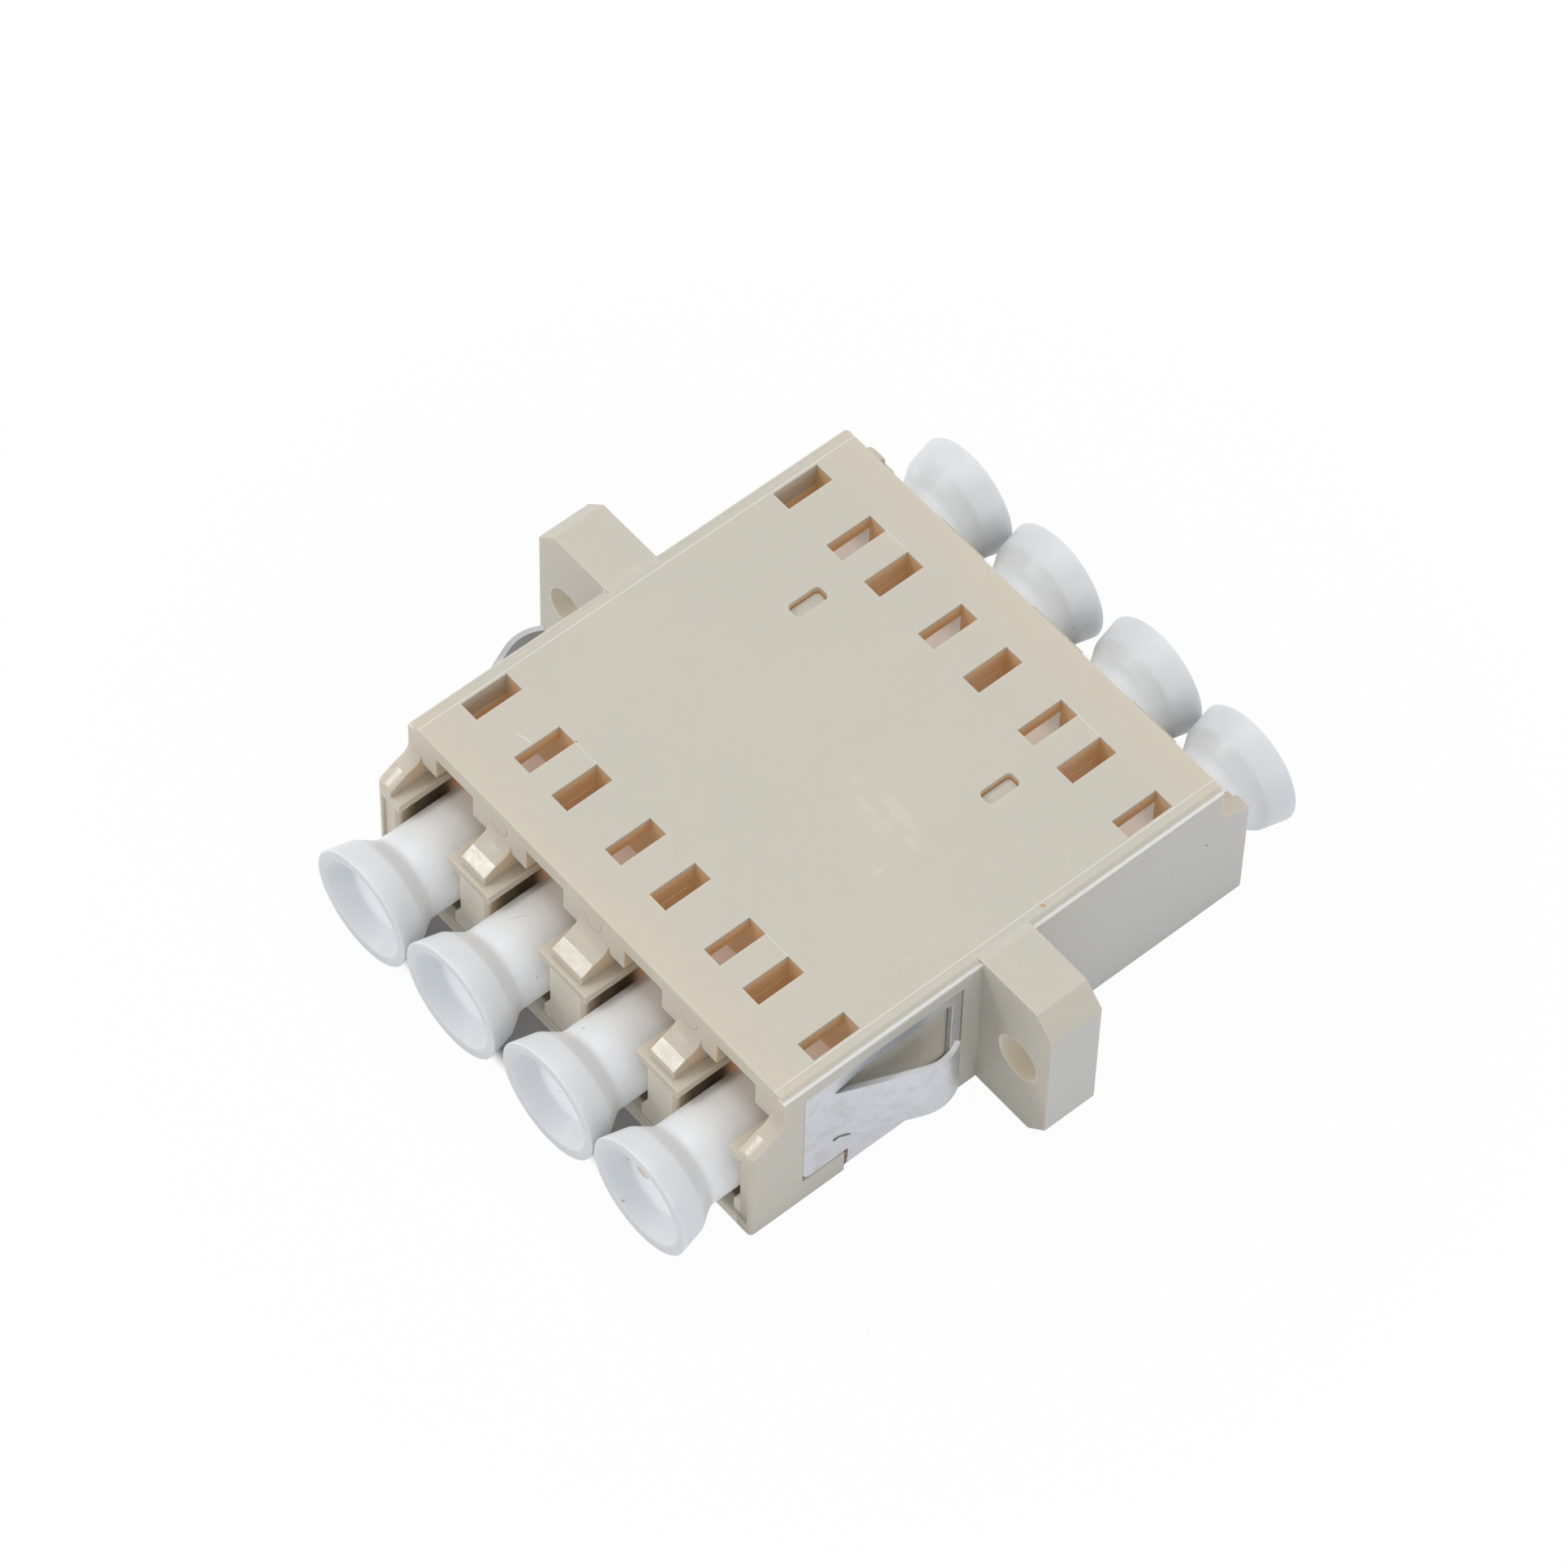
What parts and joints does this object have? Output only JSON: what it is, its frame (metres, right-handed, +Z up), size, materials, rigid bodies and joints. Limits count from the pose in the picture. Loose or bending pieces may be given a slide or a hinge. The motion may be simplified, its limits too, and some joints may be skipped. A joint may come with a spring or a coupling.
{
  "type": "fibre optic adapter",
  "caption": "Flanged multi-port small-form fibre optic adapter in a shell for a duplex panel cut-out, with a spring panel clip and bell-shaped pull-off dust caps.",
  "frame": {"origin": "centre of the overall footprint on the resting surface, in the flange's middle plane", "axes": "+X across the row of ports, +Y along the ports away from the clip end, +Z up out of the top plate"},
  "size_m": [0.0348, 0.0356, 0.0092],
  "materials": {
    "housing_plastic": "satin moulded beige",
    "holder_plastic": "satin moulded beige",
    "cap_plastic": "soft white, slightly translucent",
    "clip_steel": "bright rolled spring sheet",
    "sleeve_bronze": "bright"
  },
  "bodies": {
    "adapter": {"housing": "housing_plastic", "panel_clip": "clip_steel", "sleeve_holder_left": "holder_plastic", "sleeve_holder_right": "holder_plastic", "split_sleeve_1": "sleeve_bronze", "split_sleeve_2": "sleeve_bronze", "split_sleeve_3": "sleeve_bronze", "split_sleeve_4": "sleeve_bronze"},
    "dust_cap_front_1": {"dust_cap_front_1": "cap_plastic"},
    "dust_cap_front_2": {"dust_cap_front_2": "cap_plastic"},
    "dust_cap_front_3": {"dust_cap_front_3": "cap_plastic"},
    "dust_cap_front_4": {"dust_cap_front_4": "cap_plastic"},
    "dust_cap_rear_1": {"dust_cap_rear_1": "cap_plastic"},
    "dust_cap_rear_2": {"dust_cap_rear_2": "cap_plastic"},
    "dust_cap_rear_3": {"dust_cap_rear_3": "cap_plastic"},
    "dust_cap_rear_4": {"dust_cap_rear_4": "cap_plastic"}
  },
  "joints": [
    {"name": "dust_cap_front_1_pull", "type": "slide", "parent": "adapter", "child": "dust_cap_front_1", "axis": [0, -1, 0], "range_m": [0, 0.012]},
    {"name": "dust_cap_front_2_pull", "type": "slide", "parent": "adapter", "child": "dust_cap_front_2", "axis": [0, -1, 0], "range_m": [0, 0.012]},
    {"name": "dust_cap_front_3_pull", "type": "slide", "parent": "adapter", "child": "dust_cap_front_3", "axis": [0, -1, 0], "range_m": [0, 0.012]},
    {"name": "dust_cap_front_4_pull", "type": "slide", "parent": "adapter", "child": "dust_cap_front_4", "axis": [0, -1, 0], "range_m": [0, 0.012]},
    {"name": "dust_cap_rear_1_pull", "type": "slide", "parent": "adapter", "child": "dust_cap_rear_1", "axis": [0, 1, 0], "range_m": [0, 0.012]},
    {"name": "dust_cap_rear_2_pull", "type": "slide", "parent": "adapter", "child": "dust_cap_rear_2", "axis": [0, 1, 0], "range_m": [0, 0.012]},
    {"name": "dust_cap_rear_3_pull", "type": "slide", "parent": "adapter", "child": "dust_cap_rear_3", "axis": [0, 1, 0], "range_m": [0, 0.012]},
    {"name": "dust_cap_rear_4_pull", "type": "slide", "parent": "adapter", "child": "dust_cap_rear_4", "axis": [0, 1, 0], "range_m": [0, 0.012]}
  ]
}
